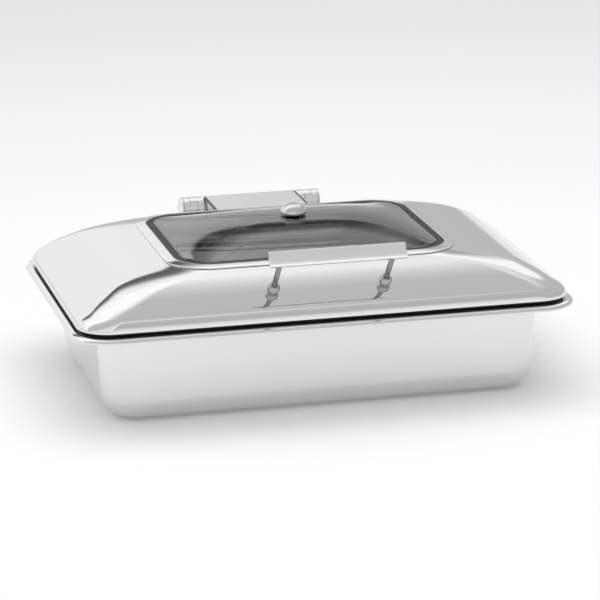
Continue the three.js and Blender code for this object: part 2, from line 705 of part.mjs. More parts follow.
add('water_pan', waterPan(), mirror);
add('induction_base_plate', basePlate(), magnetic);
add('food_pan', foodPan(), mirror);
addBaseHinge();
add('lid_shell', lidShell(), mirror);
add('lid_seal', lidSeal(), silicone);
add('window_frame', windowFrame(), mirror);
add('window_seal', windowSeal(), silicone);
add('window_glass', windowGlass(), glassy);
addCentreFitting();
addHandle();
addLidHinge();

export default group;
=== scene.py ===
"""A chafing dish in a white studio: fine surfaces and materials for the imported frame. Millimetres."""
import json
import math

import bmesh
import bpy
from mathutils import Matrix, Vector

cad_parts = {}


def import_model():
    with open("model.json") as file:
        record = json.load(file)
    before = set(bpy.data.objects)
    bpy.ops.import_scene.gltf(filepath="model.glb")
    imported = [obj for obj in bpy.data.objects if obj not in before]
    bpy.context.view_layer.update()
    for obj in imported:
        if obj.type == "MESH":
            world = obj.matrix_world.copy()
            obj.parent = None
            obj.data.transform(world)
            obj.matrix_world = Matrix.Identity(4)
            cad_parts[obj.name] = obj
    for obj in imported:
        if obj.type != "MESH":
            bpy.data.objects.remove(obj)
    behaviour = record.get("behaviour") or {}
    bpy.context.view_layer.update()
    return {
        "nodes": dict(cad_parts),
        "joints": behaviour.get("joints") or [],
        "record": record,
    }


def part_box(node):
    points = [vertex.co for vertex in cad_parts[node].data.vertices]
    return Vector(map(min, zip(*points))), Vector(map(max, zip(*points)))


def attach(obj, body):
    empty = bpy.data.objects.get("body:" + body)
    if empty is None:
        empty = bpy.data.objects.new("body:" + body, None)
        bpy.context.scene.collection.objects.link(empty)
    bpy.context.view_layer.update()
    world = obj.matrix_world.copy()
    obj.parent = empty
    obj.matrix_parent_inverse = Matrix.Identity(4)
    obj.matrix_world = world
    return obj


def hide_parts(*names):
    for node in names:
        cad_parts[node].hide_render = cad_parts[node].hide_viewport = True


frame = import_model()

MM = 0.001
GAP = 0.3
SHEET = 1.2


# ---------- sizes read from the frame ----------

def corner(node):
    """The highest corner of a CAD node, in millimetres."""
    return Vector(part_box(node)[1]) / MM


def floor_of(node):
    """The lowest corner of a CAD node, in millimetres."""
    return Vector(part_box(node)[0]) / MM


RIM = Vector((corner("water_pan").x, -floor_of("water_pan").y, corner("water_pan").z))
LID = Vector((corner("lid_shell").x, -floor_of("lid_shell").y, floor_of("lid_shell").z))
FLANGE = Vector((corner("food_pan").x, -floor_of("food_pan").y, corner("food_pan").z))
AXIS = (Vector(frame["joints"][0]["pos_m"]) / MM).yz
NUT = corner("glass_cap_nut")
GRIP = corner("handle_bar").x
ARM_HALF = corner("hinge_arm").x
HINGE_END = corner("hinge_end_cap_right").x
SHELF = corner("hinge_base_bracket").z

# guide points of the lid's section, edge to shoulder: height, half length, half width, plan corner radius
LID_GUIDE = [
    (LID.z, LID.x, LID.y, 38),
    (LID.z + 4, LID.x, LID.y - 0.2, 38),
    (LID.z + 10, LID.x - 3.6, LID.y - 1.1, 38),
    (LID.z + 14.5, LID.x - 12.9, LID.y - 2.3, 36),
    (LID.z + 18, LID.x - 17.7, LID.y - 5.3, 36),
    (LID.z + 24, LID.x - 25.7, LID.y - 11.3, 36),
    (LID.z + 31, LID.x - 39.8, LID.y - 19.3, 38),
    (LID.z + 39, LID.x - 53.8, LID.y - 30.1, 40),
    (LID.z + 46, LID.x - 82.1, LID.y - 40.7, 44.5),
    (LID.z + 49.8, LID.x - 105.9, LID.y - 48.3, 49),
    (LID.z + 51.7, LID.x - 115.5, LID.y - 53, 52.5),
]
WINDOW = (LID.x - 127, LID.y - 64.5, 42)        # half length, half width and corner radius inside the bezel
SEAT = 165.2                                    # top of the ledge that the window rests on
BEZEL_TOP = corner("window_frame").z
GLASS_EDGE = 171.5                              # top of the pane at its edge
GLASS_THICKNESS = 4
GLASS_APEX = corner("window_glass").z
GLASS_HALF = corner("window_glass").xy
GLASS_RADIUS = 34.7
BEZEL_REST = 169.1                              # underside of the bezel's outer lip, on the lid

PAN_HALF = (260.5, 160)                         # half length and half width of the pan's outside, at its top
PAN_WALL_TOP = 104.2
PAN_RADIUS = 42
LEDGE = 109.2                                   # height of the ledge that the food pan's flange rests on

GRIP_LOW = Vector((-218, 190.8))                # y and z of the grip face's two edges
GRIP_TOP = Vector((-204.5, 205.6))
GRIP_HOLLOW = 1.8
GRIP_DEPTH = 7.5
BALL_CENTRE = Vector((-169.5, 152.8))           # y and z of a ball and of its post's far end
POST_END = Vector((-205.7, 193.1))
POST_X = 65.2
POST_RADIUS = 3.1
POST_TAIL = 15.9                                # how far a post runs past its ball's centre into the lid
BALL_RADIUS = 7.5

BARREL = 15.5                                   # outer radius of the hinge
BORE = 5.3                                      # radius of the hole through the arm and the collars
ARM_WALL = 2.6
COLLAR = 60                                     # where a collar starts, measured from the hinge's middle
LOW_SEAM = 67.7                                 # where the seam's lower step is, measured the same way
HIGH_SEAM = 77                                  # and its upper step
KNUCKLE_HALF = 12.5                             # half width of the knuckle's foot
KNUCKLE_BORE = 7
END_CAP = 2.7                                   # thickness of the end cap


# ---------- sections: (height, half length, half width, corner radius) ----------

def mix(a, b, share):
    """The tuple that is a share of the way from a to b."""
    return tuple(p + (q - p) * share for p, q in zip(a, b))


def apart(a, b):
    """Distance between two sections, in height and half length."""
    return math.hypot(a[0] - b[0], a[1] - b[1])


def soften(path, reach=0.9, steps=4, ring=False):
    """The path with each corner rounded over a distance of up to reach along both its legs."""
    made = []
    last = len(path) - 1
    for i, here in enumerate(path):
        if not ring and i in (0, last):
            made.append(here)
            continue
        before, after = path[i - 1], path[(i + 1) % len(path)]
        start = mix(here, before, min(reach / max(apart(here, before), 1e-6), 0.48))
        end = mix(here, after, min(reach / max(apart(here, after), 1e-6), 0.48))
        for step in range(steps + 1):
            t = step / steps
            made.append(mix(mix(start, here, t), mix(here, end, t), t))
    return made


def spline(points, steps=8):
    """A smooth curve guided by the points, from the first to the last (a clamped cubic B-spline)."""
    guide = [points[0]] * 2 + list(points) + [points[-1]] * 2
    made = []
    for a, b, c, d in zip(guide, guide[1:], guide[2:], guide[3:]):
        for step in range(steps):
            t = step / steps
            weights = ((1 - t) ** 3, 3 * t ** 3 - 6 * t ** 2 + 4, 3 * (t + t ** 2 - t ** 3) + 1, t ** 3)
            made.append(tuple(sum(w * v for w, v in zip(weights, values)) / 6 for values in zip(a, b, c, d)))
    return made + [points[-1]]


def fillet(radius, floor, half_x, half_y, plan, steps=14):
    """A rounded bottom edge from the floor up to the wall."""
    made = []
    for step in range(steps + 1):
        angle = math.radians(90 * step / steps)
        inset = radius * (1 - math.sin(angle))
        height = floor + radius * (1 - math.cos(angle))
        made.append((height, half_x - inset, half_y - inset, max(plan - inset, 8)))
    return made


def inner_side(path, sheet):
    """The other face of a sheet whose outer face follows the path, moved in across the slope."""
    made = []
    for i, here in enumerate(path):
        before, after = path[max(i - 1, 0)], path[min(i + 1, len(path) - 1)]
        rise = after[0] - before[0]
        slope_x = math.atan2(rise, before[1] - after[1])
        slope_y = math.atan2(rise, before[2] - after[2])
        drop = sheet * math.cos((slope_x + slope_y) / 2)
        inset_x, inset_y = sheet * math.sin(slope_x), sheet * math.sin(slope_y)
        made.append((here[0] - drop, here[1] - inset_x, here[2] - inset_y, max(here[3] - sheet, 4)))
    return made


LID_CURVE = spline(LID_GUIDE)


# ---------- mesh building ----------

def make(name, verts, faces, body, nodes, material, bevel=0.0):
    """A piece on one body in place of CAD nodes, with its sharp edges rounded by a bevel if one is given."""
    mesh = bpy.data.meshes.new(name)
    mesh.from_pydata([Vector(v) * MM for v in verts], [], faces)
    mesh.validate()
    mesh.polygons.foreach_set("use_smooth", [True] * len(mesh.polygons))
    piece = bpy.data.objects.new(name, mesh)
    bpy.context.scene.collection.objects.link(piece)
    if bevel:
        soft = piece.modifiers.new("edges", "BEVEL")
        soft.width = bevel * MM
        soft.segments = 3
        soft.limit_method = "ANGLE"
        soft.angle_limit = math.radians(32)
        soft.harden_normals = True
    mesh.materials.append(material)
    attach(piece, body)
    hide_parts(*nodes)
    return piece


def slot_of(node):
    """The material slot that the record gives a CAD node."""
    return next(p["material_slot"] for p in frame["record"]["subparts"] if p["node"] == node)


def plan_loop(section, steps=18):
    """A rounded rectangle seen from above, anticlockwise, with extra points along its straight sides."""
    z, half_x, half_y, radius = section
    loop = []
    for quarter, (sx, sy) in enumerate(((1, 1), (-1, 1), (-1, -1), (1, -1))):
        arc = []
        for step in range(steps + 1):
            angle = math.radians(90 * (quarter + step / steps))
            arc.append(Vector((sx * (half_x - radius) + radius * math.cos(angle),
                               sy * (half_y - radius) + radius * math.sin(angle), z)))
        if loop:
            loop += between(loop[-1], arc[0])
        loop += arc
    return loop + between(loop[-1], loop[0])


def between(a, b):
    """Points along a straight side, close to its ends and evenly between them."""
    return [a.lerp(b, share) for share in (0.008, 0.25, 0.5, 0.75, 0.992)]


def skin(name, path, body, nodes, material, ring=False):
    """A surface through rounded rectangles. A ring closes on its first section; other skins get end caps."""
    loops = [plan_loop(section) for section in path]
    count = len(loops[0])
    verts = [v for loop in loops for v in loop]
    faces = []
    for row in range(len(loops) if ring else len(loops) - 1):
        low, high = row * count, ((row + 1) % len(loops)) * count
        for i in range(count):
            j = (i + 1) % count
            faces.append((low + i, low + j, high + j, high + i))
    if not ring:
        faces.append(tuple(reversed(range(count))))
        faces.append(tuple(range(len(verts) - count, len(verts))))
    return make(name, verts, faces, body, nodes, material)


def prism(outline, x0, x1):
    """Vertices and faces of a closed y-z outline, anticlockwise seen from +X, drawn out along X."""
    count = len(outline)
    verts = [(x, y, z) for x in (x0, x1) for y, z in outline]
    faces = []
    for i in range(count):
        j = (i + 1) % count
        faces.append((i, j, count + j, count + i))
    faces.append(tuple(reversed(range(count))))
    faces.append(tuple(range(count, 2 * count)))
    return verts, faces


def tube(outer, inner, x0, x1):
    """Vertices and faces of a hollow bar along X: two y-z outlines with as many points as each other."""
    count = len(outer)
    verts = [(x, y, z) for x, ring in ((x0, outer), (x1, outer), (x1, inner), (x0, inner)) for y, z in ring]
    faces = []
    for row in range(4):
        low, high = row * count, ((row + 1) % 4) * count
        for i in range(count):
            j = (i + 1) % count
            faces.append((low + i, low + j, high + j, high + i))
    return verts, faces


def together(*solids):
    """Vertices and faces of several solids in one mesh."""
    verts, faces = [], []
    for more_verts, more_faces in solids:
        start = len(verts)
        verts += more_verts
        faces += [tuple(start + i for i in face) for face in more_faces]
    return verts, faces


def arc(radius, first, last, steps, centre=AXIS):
    """Points of an arc about the hinge line, in degrees from +Y towards +Z."""
    angles = [math.radians(first + (last - first) * step / steps) for step in range(steps + 1)]
    return [(centre[0] + radius * math.cos(a), centre[1] + radius * math.sin(a)) for a in angles]


def turned(name, profile, body, nodes, material, place=(0, 0, 0), lean=(0, 0, 1), steps=56):
    """A lathe solid on Z, leaned to a direction at a place. Its profile holds (radius, height) points."""
    turn = Vector((0, 0, 1)).rotation_difference(Vector(lean)).to_matrix()
    verts, faces, rows = [], [], []
    for radius, height in profile:
        rows.append(len(verts))
        ring = 1 if radius < 1e-6 else steps
        for step in range(ring):
            angle = 2 * math.pi * step / steps
            spot = Vector((radius * math.cos(angle), radius * math.sin(angle), height))
            verts.append(turn @ spot + Vector(place))
    for (low, high), (a, b) in zip(zip(rows, rows[1:]), zip(profile, profile[1:])):
        for i in range(steps):
            j = (i + 1) % steps
            if a[0] < 1e-6:
                faces.append((low, high + j, high + i))
            elif b[0] < 1e-6:
                faces.append((low + i, low + j, high))
            else:
                faces.append((low + i, low + j, high + j, high + i))
    return make(name, verts, faces, body, nodes, material)


# ---------- materials ----------

def material(name):
    """A new material, its shader and its node tree."""
    made = bpy.data.materials.new(name)
    made.use_nodes = True
    shader = made.node_tree.nodes["Principled BSDF"]
    return made, shader, made.node_tree


def add(tree, kind, **inputs):
    """A node with some of its inputs set; an underscore in a name stands for a space."""
    node = tree.nodes.new(kind)
    for key, value in inputs.items():
        node.inputs[key.replace("_", " ")].default_value = value
    return node


def stretched(tree, scale, stretch):
    """Noise drawn out along one direction of the object, for grain and polishing marks."""
    coords = tree.nodes.new("ShaderNodeTexCoord")
    mapping = tree.nodes.new("ShaderNodeMapping")
    mapping.inputs["Scale"].default_value = stretch
    noise = add(tree, "ShaderNodeTexNoise", Scale=scale, Detail=4.0, Roughness=0.6)
    tree.links.new(coords.outputs["Object"], mapping.inputs["Vector"])
    tree.links.new(mapping.outputs["Vector"], noise.inputs["Vector"])
    return noise


def ranged(tree, source, low, high):
    """The source's 0.3 to 0.7 spread over low to high."""
    spread = add(tree, "ShaderNodeMapRange", From_Min=0.3, From_Max=0.7, To_Min=low, To_Max=high)
    tree.links.new(source, spread.inputs["Value"])
    return spread.outputs["Result"]


def bump(tree, source, strength, distance):
    """Fine relief from the source."""
    node = add(tree, "ShaderNodeBump", Strength=strength, Distance=distance)
    tree.links.new(source, node.inputs["Height"])
    return node


def metal(name, colour, rough, grain=(1, 1, 1), grain_scale=60, marks=0.02, relief=0.0):
    """Steel with fine marks along its grain and soft smears that vary its gloss."""
    made, shader, tree = material(name)
    fine = stretched(tree, grain_scale, grain)
    smear = stretched(tree, 9, (1, 1, 1.4))
    total = tree.nodes.new("ShaderNodeMath")
    total.operation = "ADD"
    tree.links.new(ranged(tree, fine.outputs["Fac"], rough - marks, rough + marks), total.inputs[0])
    tree.links.new(ranged(tree, smear.outputs["Fac"], -marks * 0.4, marks * 0.6), total.inputs[1])
    tree.links.new(total.outputs[0], shader.inputs["Roughness"])
    shader.inputs["Base Color"].default_value = (*colour, 1)
    shader.inputs["Metallic"].default_value = 1
    if relief:
        tree.links.new(bump(tree, fine.outputs["Fac"], relief, 0.0002).outputs[0], shader.inputs["Normal"])
    return made


def rubber(name, colour, rough):
    """A soft plastic with fine grit."""
    made, shader, tree = material(name)
    grit = stretched(tree, 900, (1, 1, 1))
    shader.inputs["Base Color"].default_value = (*colour, 1)
    tree.links.new(ranged(tree, grit.outputs["Fac"], rough - 0.08, rough + 0.08), shader.inputs["Roughness"])
    tree.links.new(bump(tree, grit.outputs["Fac"], 0.25, 0.0001).outputs[0], shader.inputs["Normal"])
    return made


def clear_glass():
    """Grey-tinted glass with faint smears."""
    made, shader, tree = material("window_glass")
    smear = stretched(tree, 14, (1, 1, 1))
    shader.inputs["Base Color"].default_value = (0.52, 0.52, 0.52, 1)
    shader.inputs["Transmission Weight"].default_value = 1
    shader.inputs["IOR"].default_value = 1.52
    tree.links.new(ranged(tree, smear.outputs["Fac"], 0.0, 0.008), shader.inputs["Roughness"])
    return made


POLISHED = metal("polished_steel", (0.785, 0.78, 0.78), 0.07, (1, 12, 12), 30, 0.012)
CHROME = metal("bright_fittings", (0.66, 0.66, 0.665), 0.04, (1, 1, 1), 60, 0.01)
POST = metal("drawn_bar", (0.27, 0.27, 0.27), 0.07, (1, 1, 1), 80, 0.02)
BALL = metal("polished_ball", (0.42, 0.42, 0.42), 0.05, (1, 1, 1), 60, 0.01)
BRUSHED = metal("brushed_grip", (0.92, 0.92, 0.92), 0.17, (1, 40, 40), 25, 0.03, 0.03)
PLATE = metal("arm_plate", (0.97, 0.965, 0.965), 0.2, (1, 40, 40), 25, 0.04, 0.04)
SATIN = metal("satin_steel", (0.84, 0.84, 0.84), 0.30, (1, 40, 40), 25, 0.05, 0.06)
HARDWARE = metal("steel_hardware", (0.68, 0.69, 0.70), 0.28, (1, 1, 1), 300, 0.06, 0.05)
GROUND = metal("magnetic_steel", (0.50, 0.51, 0.52), 0.38, (1, 60, 1), 30, 0.07, 0.15)
BRONZE = metal("bearing_bronze", (0.60, 0.42, 0.20), 0.35, (1, 1, 1), 200, 0.08, 0.05)
SILICONE = rubber("black_silicone", (0.012, 0.012, 0.013), 0.5)
NYLON = rubber("white_nylon", (0.80, 0.79, 0.75), 0.5)
GLASS = clear_glass()


# ---------- pans ----------

def pan_skin(inward):
    """One face of the water pan from the recess in its floor up the wall."""
    taper, round_off, foot = 4.6, 28 - inward, 6 + inward
    half_x, half_y = PAN_HALF[0] - inward, PAN_HALF[1] - inward
    low_x, low_y = half_x - taper, half_y - taper
    flat_x, flat_y = low_x - round_off, low_y - round_off
    start = [
        (3 + inward, flat_x - foot - 6, flat_y - foot - 6, 8),
        (3 + inward, flat_x - foot - 1, flat_y - foot - 1, 8),
        (0.4 + inward, flat_x - foot, flat_y - foot, 9),
    ]
    recess = soften(start + [(0.4 + inward, flat_x - 1, flat_y - 1, 11)], 0.5)
    edge = fillet(round_off, 0.4 + inward, low_x, low_y, PAN_RADIUS - inward)
    return recess + edge + [(PAN_WALL_TOP, half_x, half_y, PAN_RADIUS)]


def water_pan():
    """The deep pan: its wall, the ledge for the food pan, and the rim with its turned-down lip."""
    def rim(z, out, radius):
        return (z, PAN_HALF[0] + out, PAN_HALF[1] + out, radius)
    reach, ledge, top = RIM.x - PAN_HALF[0], 7.8, RIM.z
    under, lip = LEDGE - 1.2, LEDGE - 2
    rim_path = [
        rim(PAN_WALL_TOP, 0, PAN_RADIUS), rim(under, 1.2, 43), rim(under, ledge + 1.2, 44),
        rim(top - SHEET, ledge + 2, 44), rim(top - SHEET, reach - 6.5, 46), rim(top - 3.6, reach - 1.9, 47),
        rim(lip, reach - SHEET, 47), rim(lip, reach, 48), rim(top - 3, reach - 0.2, 48),
        rim(top - 1, reach - 1.9, 47), rim(top, reach - 5, 46), rim(top, ledge + 0.8, 44),
        rim(LEDGE, ledge, 44), rim(LEDGE, 0, 43), rim(PAN_WALL_TOP, -SHEET, PAN_RADIUS),
    ]
    path = pan_skin(0)[:-1] + soften(rim_path, 1.1, 5) + list(reversed(pan_skin(SHEET)))[1:]
    skin("water_pan_skin", path, "base", ["water_pan"], POLISHED)


def food_pan():
    """The shallow pan that holds the food, hung in the water pan by its flange."""
    rest, depth = FLANGE.z - SHEET, 65

    def wall(inward):
        low = fillet(18 - inward, rest - depth + inward, 246.5 - inward, 144 - inward, 40 - inward)
        return low + [(rest - 2, 253.5 - inward, 151 - inward, 40 - inward)]
    flange = [
        (rest - 2, 253.5, 151, 40), (rest, 255.1, 152.6, 40), (rest, FLANGE.x, FLANGE.y, 42),
        (FLANGE.z, FLANGE.x, FLANGE.y, 42), (FLANGE.z, 254.3, 151.8, 40), (rest - 2, 252.3, 149.8, 38.8),
    ]
    path = wall(0)[:-1] + soften(flange, 0.55, 4) + list(reversed(wall(SHEET)))[1:]
    skin("food_pan_skin", path, "base", ["food_pan"], POLISHED)


# ---------- lid ----------

def lid():
    """The domed shell, its turned-in hem and the stepped seat of the window."""
    outside, hem_width, overlap = LID_CURVE, 11, 11.5
    inside = [s for s in reversed(inner_side(outside, SHEET)) if LID.z + 2 < s[0] < SEAT]
    wx, wy, wr = WINDOW
    hem_edge = (LID.x - hem_width, LID.y - hem_width, 38 - hem_width)
    opening = (wx - overlap, wy - overlap, wr - overlap)
    edge = [(LID.z, *hem_edge), (LID.z, LID.x, LID.y, 38), outside[1]]
    seat = [
        outside[-1], (SEAT, wx + 9.5, wy + 9.5, wr + 8.5), (SEAT, *opening), (SEAT - SHEET, *opening),
        (SEAT - SHEET, wx + 10.5, wy + 10.5, wr + 8.5), (SEAT + 1, wx + 14.5, wy + 11.7, wr + 9), inside[0],
    ]
    hem_top = LID.z + SHEET
    hem = [inside[-1], (hem_top, LID.x - 1.4, LID.y - 1.4, 36.6), (hem_top, *hem_edge), edge[0]]
    path = soften(edge, 0.5, 4)[1:-1] + outside[1:-1] + soften(seat, 0.8, 4)[1:-1]
    path += inside + soften(hem, 0.4, 3)[1:-1]
    skin("lid_shell_skin", path, "lid", ["lid_shell"], POLISHED, ring=True)


def lid_seal():
    """The black seal under the lid's hem."""
    low, top = RIM.z + GAP, LID.z - GAP
    rings = [(low, 4), (low + 1.3, 3), (top, 3), (top, 9), (low + 1.3, 9), (low, 8)]
    path = [(z, LID.x - inset, LID.y - inset, 38 - inset) for z, inset in rings]
    skin("lid_seal_skin", soften(path, 0.6, 4, True), "lid", ["lid_seal"], SILICONE, ring=True)


def window_ring(rings, reach):
    """A closed section round the window from (height, distance outside the opening) points."""
    wx, wy, wr = WINDOW
    return soften([(z, wx + out, wy + out, wr + out * 0.9) for z, out in rings], reach, 5, True)


def window():
    """The bezel, the black seal inside it and the pane."""
    rest, top = SEAT + GAP, BEZEL_TOP
    bezel = [(BEZEL_REST, 12), (BEZEL_REST + 0.9, 11.5), (top, 1.5), (top, 0), (rest, 0), (rest, 8.7),
             (BEZEL_REST, 10.7)]
    skin("window_frame_skin", window_ring(bezel, 0.5), "lid", ["window_frame"], POLISHED, ring=True)
    step = GLASS_EDGE - GLASS_THICKNESS - GAP
    seal = [(rest, -GAP), (top - 0.2, -GAP), (top - 0.2, -7.8), (step, -7.8), (step, -11), (rest, -11)]
    skin("window_seal_skin", window_ring(seal, 0.7), "lid", ["window_seal"], SILICONE, ring=True)
    window_glass()


def crown(x, y):
    """Height of the pane's bubble above its edge at a place, from its centre."""
    u, v = min(abs(x) / GLASS_HALF.x, 1), min(abs(y) / GLASS_HALF.y, 1)
    return (GLASS_APEX - GLASS_EDGE) * (1 - u ** 3) * (1 - v ** 2)


def glass_path():
    """The flat pane from its centre hole out along the underside, round the edge and back along the top."""
    hole, parts = 4.3, [step / 32 for step in range(33)]
    rim_size = (GLASS_HALF.x, GLASS_HALF.y, GLASS_RADIUS)

    def section(part, below):
        return (GLASS_EDGE - below, *mix((hole, hole, hole), rim_size, part))
    upper = [section(part, 0) for part in reversed(parts)]
    lower = [section(part, GLASS_THICKNESS) for part in parts]
    rim = soften([lower[-2], lower[-1], upper[0], upper[1]], 0.5, 3)[1:-1]
    return lower[:-1] + rim + upper[1:]


def window_glass():
    """The pane, raised into a bubble that is highest at its centre."""
    pane = skin("window_glass_skin", glass_path(), "lid", ["window_glass"], GLASS, ring=True)
    for vertex in pane.data.vertices:
        vertex.co.z += crown(vertex.co.x / MM, vertex.co.y / MM) * MM


def cap_nut():
    """The domed nut on the pane, with the blind hole for its stud."""
    base, top, radius = floor_of("glass_cap_nut").z, NUT.z, NUT.x
    brim, bore, bore_depth = 2.4, 3, 8
    angles = [math.radians(a) for a in range(0, 90, 6)]
    rise = top - base - brim
    dome = [(radius * math.cos(a), base + brim + rise * math.sin(a)) for a in angles] + [(0, top)]
    foot = [(0, base + bore_depth), (bore, base + bore_depth), (bore, base + 0.3), (bore + 0.3, base),
            (radius - 0.8, base), (radius - 0.2, base + 0.2), (radius, base + 0.8)]
    turned("cap_nut_dome", foot + dome, "lid", ["glass_cap_nut"], CHROME)


# ---------- handle ----------

def grip():
    """The bar, with a slightly hollow face and a rounded back."""
    across = (GRIP_TOP - GRIP_LOW).normalized()
    outward = Vector((-across.y, across.x))
    width = (GRIP_TOP - GRIP_LOW).length
    shares = [step / 16 for step in range(16, -1, -1)]
    face = [(share, -GRIP_HOLLOW * (1 - (2 * share - 1) ** 2)) for share in shares]
    back = [(0.06, -4.5), (0.14, -6.6), (0.27, -GRIP_DEPTH), (0.73, -GRIP_DEPTH), (0.86, -6.6), (0.94, -4.5)]
    outline = [GRIP_LOW + across * (share * width) + outward * out for share, out in face + back]
    verts, faces = prism([tuple(p) for p in reversed(outline)], -GRIP, GRIP)
    make("handle_bar_grip", verts, faces, "lid", ["handle_bar"], BRUSHED, bevel=0.7)


def post(name, place, direction):
    """A round bar from inside the lid up into the grip."""
    reach = (POST_END - BALL_CENTRE).length + 4
    profile = [(0, -POST_TAIL), (POST_RADIUS - 0.5, -POST_TAIL), (POST_RADIUS, 0.5 - POST_TAIL),
               (POST_RADIUS, reach), (0, reach)]
    turned(f"handle_post_{name}_rod", profile, "lid", [f"handle_post_{name}"], POST, place, direction, 32)


def ball(name, place, direction):
    """The bored ball at a post's foot."""
    angles = [math.radians(a) for a in range(-60, 61, 5)]
    outside = [(BALL_RADIUS * math.cos(a), BALL_RADIUS * math.sin(a)) for a in angles]
    hole, end = POST_RADIUS + 0.2, 6.7
    profile = [(hole, -end)] + outside + [(hole, end), (hole, -end)]
    turned(f"handle_ball_{name}_collar", profile, "lid", [f"handle_ball_{name}"], BALL, place, direction, 40)


def handle():
    """The grip, and a post with its ball on each side."""
    grip()
    lean = (POST_END - BALL_CENTRE).normalized()
    for side, name in ((-1, "left"), (1, "right")):
        place = (side * POST_X, BALL_CENTRE.x, BALL_CENTRE.y)
        direction = (0, lean.x, lean.y)
        post(name, place, direction)
        ball(name, place, direction)


# ---------- hinge ----------

def back_of_lid(z, out):
    """y and z just outside the lid's rear face at a height."""
    for (low_z, _, low_y, _), (high_z, _, high_y, _) in zip(LID_CURVE, LID_CURVE[1:]):
        if low_z <= z <= high_z:
            lean = math.hypot(1, (low_y - high_y) / (high_z - low_z))
            return (low_y + (high_y - low_y) * (z - low_z) / (high_z - low_z) + out * lean, z)


def hinge_arm():
    """The arm: a barrel, a top plate, a foot plate against the lid and a cheek on each side."""
    top, wall, half = AXIS.y + BARREL, ARM_WALL, ARM_HALF
    foot_low, cheek_low = 136, 134
    near, far = 0.5, 5.5
    heights = [foot_low + (top - wall - foot_low) * step / 8 for step in range(8)]
    barrel = tube(arc(BARREL, 0, 355, 71), arc(BORE, 0, 355, 71), -half, half)
    foot = [back_of_lid(z, near) for z in heights + [top - wall]]
    foot += [back_of_lid(z, far) for z in [top - wall] + heights[::-1]]
    plate = [back_of_lid(top - wall, near), (AXIS.x, top - wall), (AXIS.x, top), back_of_lid(top, near)]
    cheek = [back_of_lid(z, near) for z in [top] + heights[::-1]] + [(AXIS.x, cheek_low), (AXIS.x, top)]
    solids = [barrel, prism(foot[::-1], -half, half), prism(plate, -half, half)]
    for x0 in (-half, half - wall):
        solids.append(prism(cheek, x0, x0 + wall))
    make("hinge_arm_body", *together(*solids), "lid", ["hinge_arm"], PLATE, bevel=0.5)


def ordered(side, near, far):
    """Two distances along the hinge on one side of the middle, the lower X first."""
    return sorted((side * near, side * far))


def hinge_collar(side, name):
    """The collar that turns with the arm, and its tooth of the stepped seam."""
    ring = tube(arc(BARREL, 0, 355, 71), arc(BORE, 0, 355, 71), *ordered(side, COLLAR, LOW_SEAM))
    tooth = prism(arc(BARREL, 30, 128, 40) + arc(6, 128, 30, 30), *ordered(side, LOW_SEAM, HIGH_SEAM))
    verts, faces = together(ring, tooth)
    make(f"hinge_collar_{name}_body", verts, faces, "lid", [f"hinge_collar_{name}"], SATIN, bevel=0.35)


def hinge_knuckle(side, name):
    """The fixed knuckle on the bracket's shelf, and its tooth of the stepped seam."""
    near, far = HIGH_SEAM + GAP, HINGE_END - END_CAP - GAP
    leg_side = math.degrees(math.asin(KNUCKLE_HALF / BARREL)) - 90
    feet = [(AXIS.x - KNUCKLE_HALF, SHELF + GAP), (AXIS.x + KNUCKLE_HALF, SHELF + GAP)]
    outline = arc(BARREL, leg_side, 180 - leg_side, 60) + feet
    bore = [Vector(AXIS) + (Vector(p) - AXIS).normalized() * KNUCKLE_BORE for p in outline]
    main = tube(outline, [tuple(p) for p in bore], *ordered(side, near, far))
    tooth = prism(arc(BARREL, 130, 294, 48) + arc(6, 294, 130, 30), *ordered(side, LOW_SEAM + GAP, near))
    verts, faces = together(main, tooth)
    make(f"hinge_knuckle_{name}_body", verts, faces, "base", [f"hinge_knuckle_{name}"], SATIN, bevel=0.35)


def hinge_disc(side, name):
    """The end cap, a disc with an eased edge."""
    disc = [(0, 0), (BARREL - 0.3, 0), (BARREL, 0.3), (BARREL, END_CAP - 0.9), (BARREL - 0.3, END_CAP - 0.3),
            (BARREL - 0.9, END_CAP), (0, END_CAP)]
    place = (side * (HINGE_END - END_CAP), AXIS.x, AXIS.y)
    turned(f"hinge_end_{name}_disc", disc, "base", [f"hinge_end_cap_{name}"], SATIN, place, (side, 0, 0))


def hinge_ends():
    """What sits on each side of the arm."""
    for side, name in ((-1, "left"), (1, "right")):
        hinge_collar(side, name)
        hinge_knuckle(side, name)
        hinge_disc(side, name)


# ---------- CAD nodes that keep their shape ----------

def finish_cad_nodes():
    """Materials and eased edges for the hardware that keeps its CAD shape."""
    by_slot = {
        "polished_steel": CHROME, "satin_steel": SATIN, "steel_hardware": HARDWARE, "magnetic_steel": GROUND,
        "black_silicone": SILICONE, "window_glass": GLASS, "bearing_bronze": BRONZE, "white_nylon": NYLON,
    }
    for name, node in frame["nodes"].items():
        if node.hide_render:
            continue
        node.data.materials.clear()
        node.data.materials.append(by_slot[slot_of(name)])
        edges = node.modifiers.new("edges", "BEVEL")
        edges.width = 0.25 * MM
        edges.segments = 2
        edges.limit_method = "ANGLE"
        edges.angle_limit = math.radians(40)


# ---------- studio ----------

